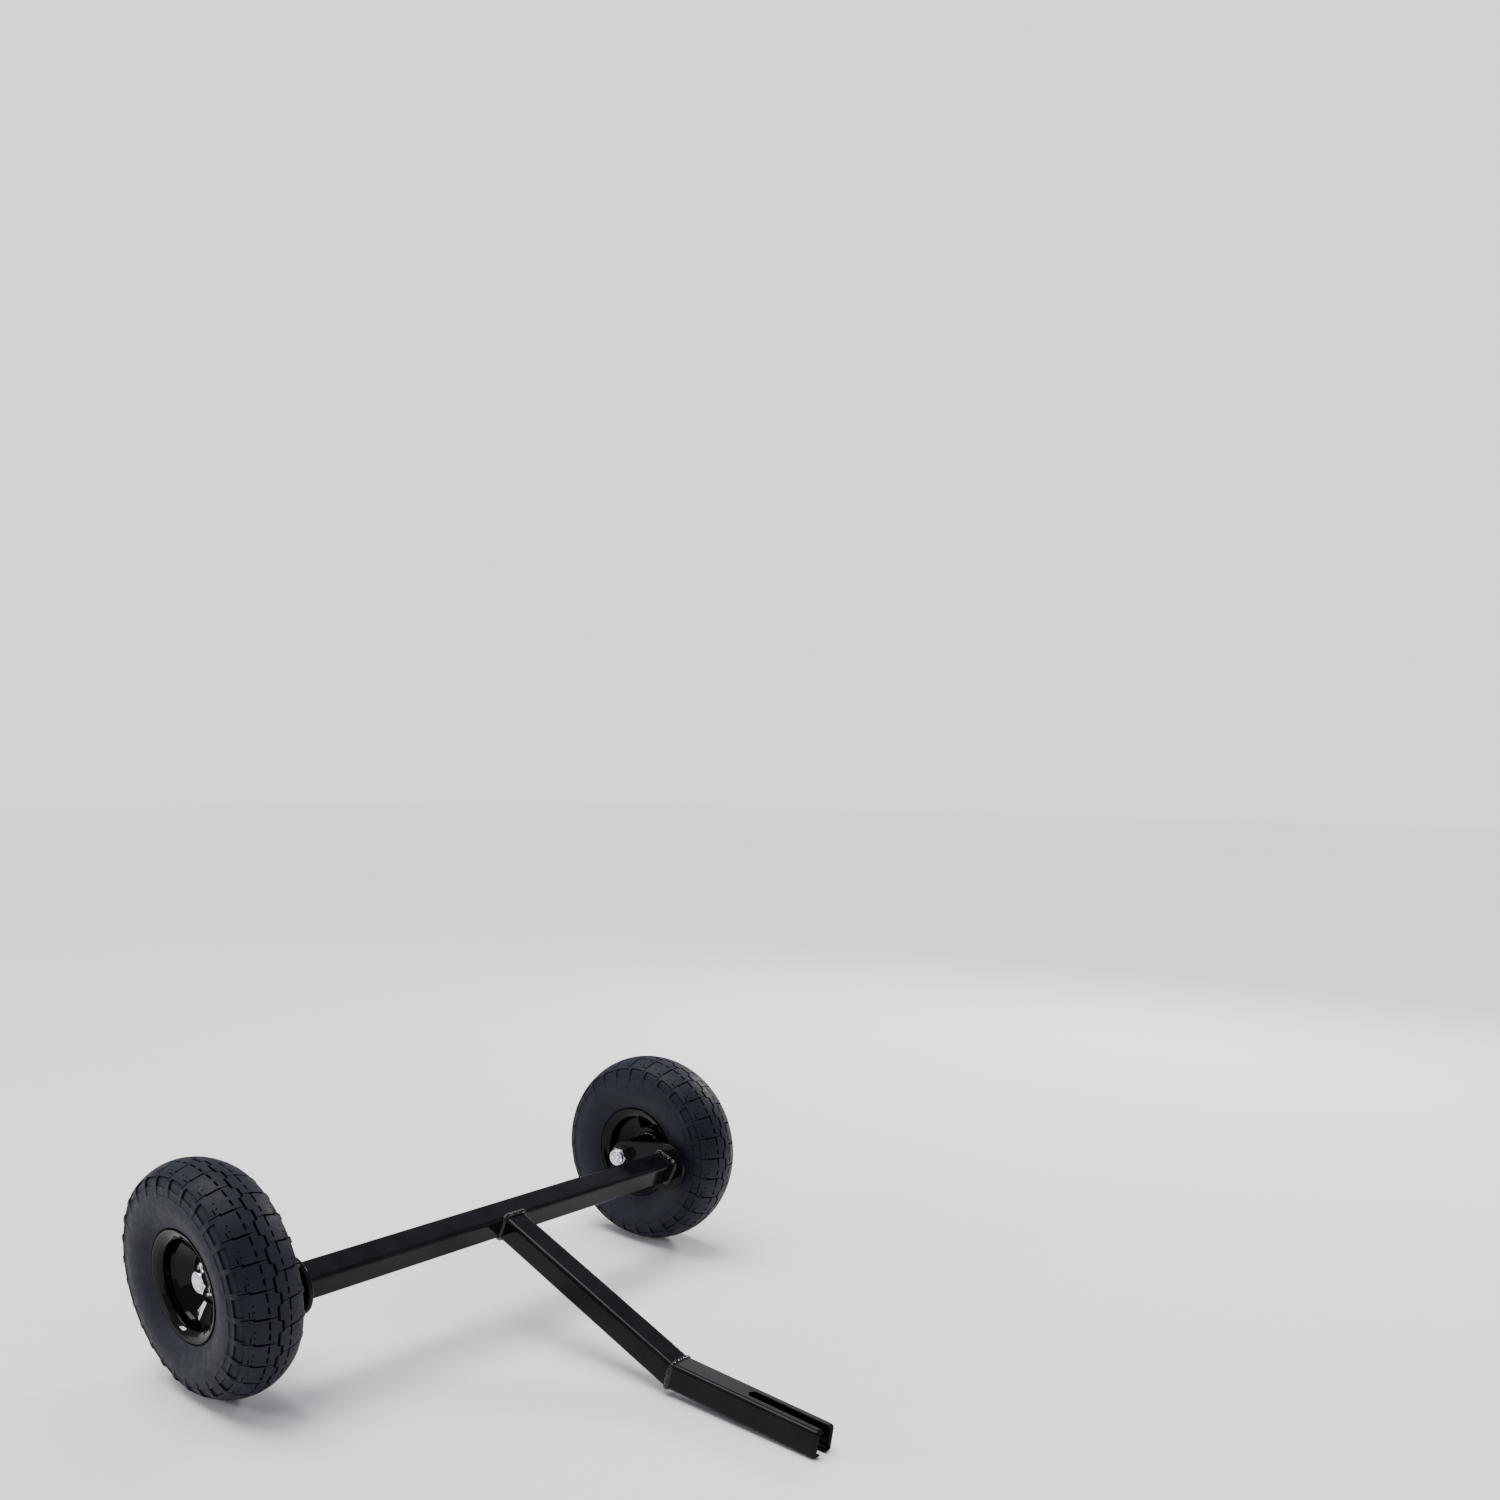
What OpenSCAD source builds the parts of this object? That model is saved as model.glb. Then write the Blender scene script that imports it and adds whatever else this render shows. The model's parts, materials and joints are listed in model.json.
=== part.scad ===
// Two-wheel tow cart. A T of welded square tube carries a wheel at each end of the cross tube, and its
// cranked tongue ends in a slotted hitch that rests on the ground. Millimetres, +Z up, +X to the right
// wheel, +Y backwards, away from the hitch. The origin is on the ground under the middle of the cart.

/* [Frame tubes] */
// Side of the square tube
tube_w = 31.75; // [25:0.25:40]
// Wall of the square tube
tube_wall = 3; // [1.5:0.5:4]
// Outer corner radius of the square tube
tube_r = 5; // [4:0.5:7]
// Length of the tongue, from the middle of the cross tube to the elbow
tongue_len = 290; // [200:5:400]
// Length of the hitch tube, from the elbow to its open end
hitch_len = 184; // [140:2:260]
// Angle that the hitch tube bends up from the tongue, in degrees
hitch_bend = 18.6; // [12:0.2:26]
// Width of the hitch slot
slot_w = 12; // [8:0.5:16]
// Length of the hitch slot, from its round end to the open end of the tube
slot_len = 92; // [60:2:120]

/* [Axle plates] */
// Thickness of an axle plate
plate_t = 6; // [4:0.5:10]
// Distance from the middle of the cross tube to the axle bolt
plate_reach = 71.2; // [60:0.2:90]
// Angle of the plate below the tube's own level, in degrees
plate_drop = 21.1; // [15:0.1:27]
// Radius of the plate's end on the cross tube
plate_tube_r = 33; // [26:1:40]
// Radius of the plate's end on the axle bolt
plate_axle_r = 20; // [16:1:24]

/* [Weld beads] */
// Leg of the fillet beads on the tongue and on the plates
bead_leg = 4.5; // [2:0.5:7]
// Height of the butt bead on the elbow
butt_bead_h = 1.2; // [0.5:0.1:2.5]
// Width of the butt bead on the elbow
butt_bead_w = 6; // [3:0.5:10]

/* [Wheels] */
// Distance between the middle planes of the two wheels
track = 720; // [500:10:1000]
// Outer diameter of the tyre
tyre_d = 260; // [240:2:290]
// Width of the tyre at its widest
tyre_w = 86; // [80:1:96]
// How far the widest place on the sidewall lies inside the edge of the tread
belly_drop = 23; // [16:1:30]
// Gap between the tyre's sidewall and the axle plate
plate_gap = 8.8; // [4:0.2:16]
// Width across the tread blocks
tread_w = 76; // [66:1:80]
// Radius of the crowned tread in section
crown_r = 59; // [50:1:90]

/* [Rims] */
// Radius of the seat that the tyre's bead sits on
bead_seat_r = 50.8; // [48:0.2:54]
// Height of the rim lip over the bead seat
lip_h = 11.8; // [9:0.2:14]
// Distance between the outer edges of the two rim lips
lip_span = 67.2; // [60:0.2:74]
// Thickness of the rim steel
rim_t = 2; // [1.2:0.2:3]
// Distance from the middle plane to the fold between the rim wall and its web
web_fold_x = 14; // [10:0.5:18]
// Width of the flat ring of the web round the hub, where the two halves meet
web_flat_w = 8.5; // [6:0.5:12]

/* [Hub and bearings] */
// Wall of the hub tube, over the bearings
hub_wall = 3; // [2:0.25:5]
// Distance from the wheel's middle plane out to the outboard bearing face
hub_face_x = 5.4; // [4:0.2:10]
// Outer radius of a bearing
bearing_r = 17.4625; // [16.5:0.0125:20]
// Width of a bearing over its inner ring
bearing_w = 11.1; // [9:0.1:14]
// How far the bearing's flange stands out past its outer ring
flange_step = 1.6; // [1:0.1:2]
// Thickness of the bearing's flange
flange_t = 1.6; // [1:0.1:2.5]
// Radius of a bearing ball
ball_r = 2.78; // [2.3:0.02:3]
// Thickness of a bearing shield
shield_t = 0.5; // [0.3:0.1:0.8]
// How far the inner ring stands proud of the outer ring
ring_proud = 0.5; // [0.4:0.1:1]

/* [Bolt and nut] */
// Diameter of the axle bolt
bolt_d = 15.875; // [14:0.125:16]
// How far the bolt's end stands out of the nut
bolt_proud = 0.8; // [0:0.2:6]
// Width across the flats of the bolt head and the nut
hex_af = 23.8; // [22:0.1:26]
// Height of the bolt head
head_h = 9.95; // [8:0.05:12]
// Height of the nut's hexagon
nut_hex_h = 12.2; // [10:0.1:14]
// Height of the nut's collar, which holds the nylon ring
nut_collar_h = 3.8; // [3:0.1:5]
// Outer radius of the nut's collar
nut_collar_r = 11.3; // [10.8:0.1:11.8]
// Wall of the collar round the nylon ring
collar_wall = 1.6; // [1:0.1:2]

/* [Fits] */
// Radial clearance of the bearing bore on the bolt
bore_fit = 0.03; // [0.01:0.01:0.1]
// Radial clearance of the bolt holes in the plates
hole_fit = 0.25; // [0.1:0.05:0.5]
// Clearance of the balls in their grooves
ball_fit = 0.02; // [0.01:0.01:0.05]
// Radial gap between a shield and the inner ring
shield_gap = 0.35; // [0.3:0.05:0.6]
// Gap between the tyre and the rim it is pressed on
bead_fit = 0.05; // [0.02:0.01:0.1]

/* [Hidden] */
LEFT = -1;
RIGHT = 1;
SIDES = [["left", LEFT], ["right", RIGHT]];

$fn = 96;
OUTBOARD = 1;
INBOARD = -1;

// The frame is drawn level, with the cross tube's middle at its origin and the tongue along -Y.
tyre_r = tyre_d / 2;
axle_in_frame = [0, plate_reach * cos(plate_drop), -plate_reach * sin(plate_drop)];
// The hitch tip seen from the axle, as [forwards, upwards] in the level frame.
tip_reach = axle_in_frame[1] + tongue_len + hitch_len * cos(hitch_bend);
tip_rise = -axle_in_frame[2] + hitch_len * sin(hitch_bend);
heel_reach = tip_reach + tube_w / 2 * sin(hitch_bend);
heel_rise = tip_rise - tube_w / 2 * cos(hitch_bend);
brow_reach = tip_reach - tube_w / 2 * sin(hitch_bend);
brow_rise = tip_rise + tube_w / 2 * cos(hitch_bend);
// The frame tips forwards about the axle until the heel of the hitch tube stands on the ground.
rest_tilt = asin(tyre_r / norm([heel_reach, heel_rise])) + atan2(heel_rise, heel_reach);
front_y = -max(heel_reach * cos(rest_tilt) + heel_rise * sin(rest_tilt),
    brow_reach * cos(rest_tilt) + brow_rise * sin(rest_tilt));
axle_y = -(front_y + tyre_r) / 2;

// Places along an axle, measured outwards from the wheel's middle plane.
plate_outer_x = -tyre_w / 2 - plate_gap;
hub_len = hub_face_x - plate_outer_x;
bolt_len = hub_len + plate_t + nut_hex_h + nut_collar_h + bolt_proud;
hub_r = bearing_r + hub_wall;
flange_r = bearing_r + flange_step;
lip_r = bead_seat_r + lip_h;
web_flat_r = hub_r + web_flat_w;
plate_inner_x = plate_outer_x - plate_t;
hub_out_x = hub_face_x - ring_proud - flange_t;
hub_in_x = plate_outer_x + ring_proud + flange_t;
cross_len = track + 2 * plate_inner_x;
shank_r = bolt_d / 2;
ball_pitch_r = (shank_r + bearing_r) / 2;
inner_ring_r = ball_pitch_r - ball_r / 2;
outer_ring_bore_r = ball_pitch_r + ball_r / 2;
ball_count = floor(180 / asin((ball_r + ball_fit) / ball_pitch_r));
outer_ring_half = bearing_w / 2 - ring_proud;
corner_bore_r = max(tube_r - tube_wall, 0.5);
bolt_chamfer = 1.2;
arc_steps = 48;
long = 3 * tube_w;

// Middle line of a pressed rim half, from the hub out to the lip, as [radius, distance outboard].
seat_mid_r = bead_seat_r - rim_t / 2;
lip_x = lip_span / 2 - rim_t / 2;
rim_line = [[hub_r, rim_t / 2], [web_flat_r, rim_t / 2], [seat_mid_r - 2, web_fold_x],
    [seat_mid_r, web_fold_x + 3], [seat_mid_r, lip_x - 6], [seat_mid_r + 3, lip_x - 2.4],
    [lip_r - 5, lip_x - 1.6], [lip_r - rim_t / 2, lip_x]];

function unit(v) = v / norm(v);
function turned(v) = [-v[1], v[0]];
function arc(middle, r, from, to) = [for (i = [0:arc_steps])
    let (a = from + (to - from) * i / arc_steps) middle + r * [cos(a), sin(a)]];
function reversed(p) = [for (i = [len(p) - 1:-1:0]) p[i]];
function bezier(a, b, c, steps) =
    [for (i = [0:steps]) let (t = i / steps) a * (1 - t) * (1 - t) + b * 2 * t * (1 - t) + c * t * t];
// One corner-cutting pass, which keeps the two ends where they are.
function softened(p) = concat([p[0]],
    [for (i = [0:len(p) - 2]) each [p[i] * 0.75 + p[i + 1] * 0.25, p[i] * 0.25 + p[i + 1] * 0.75]],
    [p[len(p) - 1]]);
// The line p moved sideways by d, with mitred corners.
function beside(p, d) = [for (i = [0:len(p) - 1])
    let (a = turned(unit(i == 0 ? p[1] - p[0] : p[i] - p[i - 1])),
        b = turned(unit(i == len(p) - 1 ? p[i] - p[i - 1] : p[i + 1] - p[i])),
        n = unit(a + b))
    p[i] + n * d / (n * a)];

module frame_pose()
    translate([0, axle_y, tyre_r]) rotate([rest_tilt, 0, 0]) translate(-axle_in_frame) children();

// Children are drawn about the axle, with +X outboard.
module wheel_pose(side)
    mirror([side == LEFT ? 1 : 0, 0, 0]) translate([track / 2, axle_y, tyre_r]) children();

// Children are drawn about a bearing's middle, with +X towards its exposed face.
module bearing_pose(side, end)
    wheel_pose(side)
        translate([end == OUTBOARD ? hub_face_x - bearing_w / 2 : plate_outer_x + bearing_w / 2, 0, 0])
            mirror([end == INBOARD ? 1 : 0, 0, 0]) children();

// Turns a profile of [radius, x] about the X axis.
module turned_part() rotate([0, 90, 0]) rotate_extrude() children();

// Extrudes a profile of [y, z] along +X, from x0.
module along_x(x0, length) translate([x0, 0, 0]) rotate([90, 0, 90]) linear_extrude(length) children();

// Extrudes a profile of [x, z] forwards, along -Y.
module forwards(length) rotate([90, 0, 0]) linear_extrude(length) children();

module rounded_rectangle(w, h, r) {
    square([w, h - 2 * r], center = true);
    square([w - 2 * r, h], center = true);
    for (x = [-1, 1], z = [-1, 1]) translate([x * (w / 2 - r), z * (h / 2 - r)]) circle(r);
}

module rounded_square(w, r) rounded_rectangle(w, w, r);

module tube_outline() rounded_square(tube_w, tube_r);

module tube_section() difference() {
    tube_outline();
    rounded_square(tube_w - 2 * tube_wall, corner_bore_r);
}

module grown_outline(by) rounded_square(tube_w + 2 * by, tube_r + by);

module butt_bead_section() difference() {
    grown_outline(butt_bead_h);
    tube_outline();
}

// The elbow's own frame: part 0.5 is the mitre plane and part 1 is the hitch tube.
module elbow_pose(part) translate([0, -tongue_len, 0]) rotate([-part * hitch_bend, 0, 0]) children();

// A large block on one side of the mitre plane, from y on.
module mitre_block(y) elbow_pose(0.5) translate([-long, y, -long]) cube([2 * long, long, 2 * long]);

module tongue_blank() difference() {
    translate([0, -tube_w / 2, 0]) forwards(tongue_len) children();
    mitre_block(-long);
}

module hitch_blank() difference() {
    elbow_pose(1) translate([0, tube_w, 0]) forwards(hitch_len + tube_w) children();
    mitre_block(0);
}

module cross_tube() color("#1b1c1e") frame_pose() along_x(-cross_len / 2, cross_len) tube_section();

module tongue_tube() color("#1b1c1e") frame_pose() tongue_blank() tube_section();

module hitch_tube() color("#1b1c1e") frame_pose() difference() {
    hitch_blank() tube_section();
    elbow_pose(1) translate([0, -hitch_len, 0]) {
        translate([-slot_w / 2, -1, -tube_w]) cube([slot_w, slot_len - slot_w / 2 + 1, 2 * tube_w]);
        translate([0, slot_len - slot_w / 2, -tube_w]) cylinder(r = slot_w / 2, h = 2 * tube_w);
    }
}

module tongue_weld() color("#202124") frame_pose() difference() {
    translate([0, -tube_w / 2 + tube_r, 0]) forwards(tube_r + bead_leg) grown_outline(bead_leg / 2);
    translate([0, tube_w, 0]) forwards(long) tube_outline();
    along_x(-long, 2 * long) tube_outline();
}

// A ring round each tube, from the mitre plane to half a bead's width away from it.
module elbow_weld() color("#202124") frame_pose() {
    difference() {
        translate([0, tube_w - tongue_len, 0]) forwards(2 * tube_w) butt_bead_section();
        mitre_block(butt_bead_w / 2);
        mitre_block(-long);
    }
    difference() {
        elbow_pose(1) translate([0, tube_w, 0]) forwards(2 * tube_w) butt_bead_section();
        mitre_block(0);
        mitre_block(-butt_bead_w / 2 - long);
    }
}

// A pear: an arc round the tube and an arc round the axle, joined by their straight tangents.
module plate_outline() {
    lean = acos((plate_tube_r - plate_axle_r) / plate_reach);
    polygon(concat(arc([0, 0], plate_tube_r, lean, 360 - lean),
        arc([plate_reach, 0], plate_axle_r, -lean, lean)));
}

module axle_plate(side) color("#1b1c1e") frame_pose() mirror([side == LEFT ? 1 : 0, 0, 0])
    along_x(track / 2 + plate_inner_x, plate_t) rotate(-plate_drop) difference() {
        plate_outline();
        translate([plate_reach, 0]) circle(shank_r + hole_fit);
    }

module plate_weld(side) color("#202124") frame_pose() mirror([side == LEFT ? 1 : 0, 0, 0])
    along_x(track / 2 + plate_inner_x - bead_leg, bead_leg) difference() {
        grown_outline(bead_leg);
        tube_outline();
    }

module hexagon(h) rotate([0, 90, 0]) cylinder(r = hex_af / 2 / cos(30), h = h, $fn = 6);

module axle_bolt(side) color("#c9ccd0") wheel_pose(side) translate([hub_face_x, 0, 0]) {
    intersection() {
        hexagon(head_h);
        turned_part() polygon([[0, 0], [hex_af, 0], [hex_af / 2 + 1.9, head_h - 1.4],
            [hex_af / 2 - 0.6, head_h], [0, head_h]]);
    }
    turned_part() polygon([[0, 0.5], [shank_r, 0.5], [shank_r, bolt_chamfer - bolt_len],
        [shank_r - bolt_chamfer, -bolt_len], [0, -bolt_len]]);
}

module lock_nut(side) color("#c9ccd0") wheel_pose(side) translate([plate_inner_x, 0, 0])
    mirror([1, 0, 0]) difference() {
        union() {
            intersection() {
                hexagon(nut_hex_h);
                turned_part() polygon([[0, 0], [hex_af / 2 - 0.6, 0], [hex_af / 2 + 1.9, 1.4],
                    [hex_af / 2 + 1.9, nut_hex_h - 1.4], [hex_af / 2 - 0.6, nut_hex_h], [0, nut_hex_h]]);
            }
            turned_part() polygon([[0, nut_hex_h / 2], [nut_collar_r, nut_hex_h / 2],
                [nut_collar_r, nut_hex_h + nut_collar_h - 1], [nut_collar_r - 1, nut_hex_h + nut_collar_h],
                [0, nut_hex_h + nut_collar_h]]);
        }
        rotate([0, 90, 0]) translate([0, 0, -1]) cylinder(r = shank_r, h = long);
        rotate([0, 90, 0]) translate([0, 0, nut_hex_h])
            cylinder(r = nut_collar_r - collar_wall, h = nut_collar_h - 0.8);
    }

module nut_insert(side) color("#e8e9ec") wheel_pose(side) translate([plate_inner_x, 0, 0])
    mirror([1, 0, 0]) turned_part() translate([shank_r, nut_hex_h])
        square([nut_collar_r - collar_wall - shank_r, nut_collar_h - 0.8]);

module spacer_tube(side) color("#8b8e93") wheel_pose(side) turned_part()
    translate([shank_r + bore_fit, plate_outer_x + bearing_w])
        square([inner_ring_r - shank_r - bore_fit - 0.5, hub_len - 2 * bearing_w]);

module inner_ring(side, end) color("#d4d6da") bearing_pose(side, end) turned_part() difference() {
    translate([shank_r + bore_fit, -bearing_w / 2]) square([inner_ring_r - shank_r - bore_fit, bearing_w]);
    translate([ball_pitch_r, 0]) circle(ball_r + ball_fit);
}

module outer_ring(side, end) color("#d4d6da") bearing_pose(side, end) turned_part() difference() {
    union() {
        translate([outer_ring_bore_r, -outer_ring_half])
            square([bearing_r - outer_ring_bore_r, 2 * outer_ring_half]);
        translate([outer_ring_bore_r, outer_ring_half - flange_t])
            square([flange_r - outer_ring_bore_r, flange_t]);
    }
    translate([ball_pitch_r, 0]) circle(ball_r + ball_fit);
}

module balls(side, end) color("#e4e6ea") bearing_pose(side, end)
    for (i = [0:ball_count - 1])
        rotate([i * 360 / ball_count, 0, 0]) translate([0, 0, ball_pitch_r]) sphere(ball_r, $fn = 24);

module shields(side, end) color("#33353a") bearing_pose(side, end)
    for (x = [-outer_ring_half + 0.1, outer_ring_half - 0.1 - shield_t])
        turned_part() translate([inner_ring_r + shield_gap, x])
            square([outer_ring_bore_r - inner_ring_r - shield_gap, shield_t]);

module hub_tube(side) color("#1b1c1e") wheel_pose(side) turned_part()
    translate([bearing_r, hub_in_x]) square([hub_r - bearing_r, hub_out_x - hub_in_x]);

// A fillet ring on each face of the web, between the web and the hub tube.
module hub_welds(side) color("#202124") wheel_pose(side) {
    out_leg = hub_out_x - rim_t;
    turned_part() polygon([[hub_r, rim_t], [hub_r + out_leg * 1.6, rim_t], [hub_r, hub_out_x]]);
    turned_part() polygon([[hub_r, -rim_t], [hub_r + bead_leg, -rim_t], [hub_r, -rim_t - bead_leg]]);
}

module rim_sheet() {
    line = softened(softened(rim_line));
    polygon(concat(beside(line, rim_t / 2), reversed(beside(line, -rim_t / 2))));
}

// Everything from the axle out to the tyre's side of a rim half, grown by the bead fit.
module rim_envelope() {
    line = beside(softened(softened(rim_line)), -rim_t / 2 - bead_fit);
    edge = line[len(line) - 1];
    polygon(concat([[0, -bead_fit]], line, [[edge[0], tyre_w], [0, tyre_w]]));
}

module rim_half(side, end) color("#141517") wheel_pose(side) mirror([end == INBOARD ? 1 : 0, 0, 0])
    turned_part() rim_sheet();

module tyre_half_outline() {
    arc_end = asin(tread_w / 2 / crown_r);
    crown = [for (i = [0:12]) let (a = arc_end * i / 12)
        [tyre_r - crown_r + crown_r * cos(a), crown_r * sin(a)]];
    shoulder = crown[12];
    belly = [shoulder[0] - belly_drop, tyre_w / 2];
    foot = [lip_r + 2.4, lip_span / 2];
    upper = bezier(shoulder, [shoulder[0] - 12, tyre_w / 2 + 0.2], belly, 6);
    lower = bezier(belly, [belly[0] - 14, tyre_w / 2 - 0.4], foot, 8);
    polygon(concat([[bead_seat_r + bead_fit, 0]], crown, [for (i = [1:6]) upper[i]],
        [for (i = [1:8]) lower[i]], [[lip_r, lip_span / 2 - rim_t], [bead_seat_r + bead_fit, lip_x]]));
}

module tyre(side) color("#3a3c40") wheel_pose(side) turned_part()
    for (m = [0, 1]) mirror([0, m]) difference() {
        tyre_half_outline();
        rim_envelope();
    }

cross_tube();
tongue_tube();
hitch_tube();
tongue_weld();
elbow_weld();
for (s = SIDES) {
    axle_plate(s[1]);
    plate_weld(s[1]);
    axle_bolt(s[1]);
    lock_nut(s[1]);
    nut_insert(s[1]);
    spacer_tube(s[1]);
    hub_tube(s[1]);
    hub_welds(s[1]);
    rim_half(s[1], OUTBOARD);
    rim_half(s[1], INBOARD);
    tyre(s[1]);
    for (e = [["outboard", OUTBOARD], ["inboard", INBOARD]]) {
        inner_ring(s[1], e[1]);
        outer_ring(s[1], e[1]);
        balls(s[1], e[1]);
        shields(s[1], e[1]);
    }
}
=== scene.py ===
# %% [markdown]
# # A two-wheel tow cart
# The cart is a T of welded square tube. A flat-free hand-cart wheel spins on a bolt at each end of the cross
# tube, and the tongue ends in a slotted hitch that rests on the ground. The working model is loaded first, as a
# fixed frame, and every piece is then modelled round it, in metres, where the frame says it belongs.

# %% Load the fixed frame
import json
import math
import random
import bpy
from mathutils import Matrix, Vector


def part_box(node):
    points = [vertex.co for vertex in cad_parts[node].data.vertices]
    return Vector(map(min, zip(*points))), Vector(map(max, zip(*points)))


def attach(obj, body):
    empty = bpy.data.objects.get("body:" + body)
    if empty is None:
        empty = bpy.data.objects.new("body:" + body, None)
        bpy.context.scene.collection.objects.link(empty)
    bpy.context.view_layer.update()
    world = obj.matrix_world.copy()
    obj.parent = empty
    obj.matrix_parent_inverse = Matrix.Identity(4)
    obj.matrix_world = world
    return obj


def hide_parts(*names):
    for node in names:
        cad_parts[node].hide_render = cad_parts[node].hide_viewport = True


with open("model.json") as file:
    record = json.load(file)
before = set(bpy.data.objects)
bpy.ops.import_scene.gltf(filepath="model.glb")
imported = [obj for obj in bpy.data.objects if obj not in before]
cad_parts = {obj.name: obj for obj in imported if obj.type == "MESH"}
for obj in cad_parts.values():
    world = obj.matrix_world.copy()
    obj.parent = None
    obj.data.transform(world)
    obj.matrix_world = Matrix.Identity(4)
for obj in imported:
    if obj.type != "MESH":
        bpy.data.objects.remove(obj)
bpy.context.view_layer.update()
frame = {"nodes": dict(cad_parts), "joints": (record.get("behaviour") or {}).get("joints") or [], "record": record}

print("nodes loaded:", len(frame["nodes"]))

# %% [markdown]
# The camera comes first, so that each piece can be judged as it is made. It stands to the left of the hitch and
# looks down on the cart a little. The cart sits low and to the left in a square picture. That could be had by
# cropping a larger picture, but a lens shift does the same and leaves the perspective as it is.

# %% The camera
camera_data = bpy.data.cameras.new("camera")
camera_data.lens = 29.6
camera_data.sensor_width = 36
camera_data.shift_x = 0.1796
camera_data.shift_y = 0.3312
camera_data.clip_start = 0.02
camera = bpy.data.objects.new("camera", camera_data)
bpy.context.scene.collection.objects.link(camera)
camera.location = (-0.97437, -0.86423, 0.62811)
camera.rotation_euler = (math.radians(68.92), math.radians(-0.28), math.radians(-43.29))
bpy.context.scene.camera = camera
print("camera stands", round(camera.location.length, 3), "m from the origin")

# %% [markdown]
# Plain studio light. A wide, soft sun called the ceiling makes the short shadows under the tubes. A small panel
# behind at the left gives the paint its window-like highlights, and two panels at the right lift the treads and the
# right wheel. A bluish sky fills the rest, and the camera sees a brighter backdrop in its place. Smaller, harder
# lamps would make shadows with sharp edges.

# %% Light and floor
FLOOR_SIZE = 40
world = bpy.data.worlds.new("studio")
bpy.context.scene.world = world
world.use_nodes = True
sky = world.node_tree.nodes["Background"]
sky.inputs["Color"].default_value = (0.86, 0.89, 1.0, 1)
sky.inputs["Strength"].default_value = 0.6
backdrop = world.node_tree.nodes.new("ShaderNodeBackground")
backdrop.inputs["Color"].default_value = (0.97, 0.98, 1.0, 1)
backdrop.inputs["Strength"].default_value = 1.55
straight_view = world.node_tree.nodes.new("ShaderNodeLightPath")
choice = world.node_tree.nodes.new("ShaderNodeMixShader")
world.node_tree.links.new(straight_view.outputs["Is Camera Ray"], choice.inputs[0])
world.node_tree.links.new(sky.outputs[0], choice.inputs[1])
world.node_tree.links.new(backdrop.outputs[0], choice.inputs[2])
world.node_tree.links.new(choice.outputs[0], world.node_tree.nodes["World Output"].inputs["Surface"])


def soft_panel(name, place, aim, size, watts):
    """A square area lamp at place, facing aim."""
    lamp = bpy.data.lights.new(name, "AREA")
    lamp.size = size
    lamp.energy = watts
    lamp_object = bpy.data.objects.new(name, lamp)
    bpy.context.scene.collection.objects.link(lamp_object)
    lamp_object.location = place
    lamp_object.rotation_euler = (Vector(aim) - Vector(place)).to_track_quat("-Z", "Y").to_euler()


soft_panel("window_panel", (-2.54, 2.07, 0.98), (-0.38, 0.21, 0.085), 0.4, 30)
soft_panel("tread_panel", (2.9, 0.2, 1.6), (-0.3, 0.1, 0.2), 0.5, 45)
soft_panel("right_panel", (2.6, 1.35, 1.5), (0, -0.2, 0.05), 0.9, 3.2)
ceiling = bpy.data.lights.new("ceiling", "SUN")
ceiling.energy = 3.6
ceiling.angle = math.radians(42)
ceiling_object = bpy.data.objects.new("ceiling", ceiling)
bpy.context.scene.collection.objects.link(ceiling_object)
ceiling_object.rotation_euler = Vector((0.1, -0.22, -0.95)).to_track_quat("-Z", "Y").to_euler()

bpy.ops.object.select_all(action="DESELECT")
bpy.ops.mesh.primitive_plane_add(size=FLOOR_SIZE)
floor = bpy.context.object
floor.name = "floor"
print("lamps and floor made")

# %% [markdown]
# These helpers do what a person does by hand again and again: select one object, pick faces or edges by where
# they are, apply a modifier, and settle a piece so that its place is in its mesh and its origin is at zero.

# %% Helpers for working on one object
SMOOTH_ANGLE = math.radians(32)


def take(obj):
    """Makes obj the only selected object and the active one."""
    if bpy.context.object and bpy.context.object.mode != "OBJECT":
        bpy.ops.object.mode_set(mode="OBJECT")
    bpy.ops.object.select_all(action="DESELECT")
    obj.select_set(True)
    bpy.context.view_layer.objects.active = obj


def edit(obj, kind="VERT"):
    take(obj)
    bpy.ops.object.mode_set(mode="EDIT")
    bpy.ops.mesh.select_mode(type=kind)


def done():
    bpy.ops.object.mode_set(mode="OBJECT")


def clear_selection(obj):
    take(obj)
    for part in (obj.data.vertices, obj.data.edges, obj.data.polygons):
        part.foreach_set("select", [False] * len(part))


def pick_faces(obj, test):
    """Enters edit mode with the faces selected whose centre and normal pass the test."""
    clear_selection(obj)
    picked = [face for face in obj.data.polygons if test(face.center, face.normal)]
    for face in picked:
        face.select = True
    edit(obj, "FACE")
    return len(picked)


def pick_edges(obj, test):
    """Enters edit mode with the edges selected whose two ends pass the test."""
    clear_selection(obj)
    points = [vertex.co.copy() for vertex in obj.data.vertices]
    picked = [edge for edge in obj.data.edges if test(points[edge.vertices[0]], points[edge.vertices[1]])]
    for edge in picked:
        edge.select = True
    edit(obj, "EDGE")


def modify(obj, kind, **settings):
    """Adds a modifier and applies it."""
    take(obj)
    modifier = obj.modifiers.new(kind.title(), kind)
    for key, value in settings.items():
        setattr(modifier, key, value)
    bpy.ops.object.modifier_apply(modifier=modifier.name)


def settle(obj, matrix=None):
    """Puts the object's place into its mesh, after an optional move."""
    take(obj)
    if matrix is not None:
        obj.matrix_world = matrix @ obj.matrix_world
    bpy.ops.object.transform_apply(location=True, rotation=True, scale=True)


def tidy_mesh(obj, gap):
    """Merges points closer than gap and turns every face outwards."""
    edit(obj)
    bpy.ops.mesh.select_all(action="SELECT")
    bpy.ops.mesh.remove_doubles(threshold=gap)
    bpy.ops.mesh.normals_make_consistent(inside=False)
    done()


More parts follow.
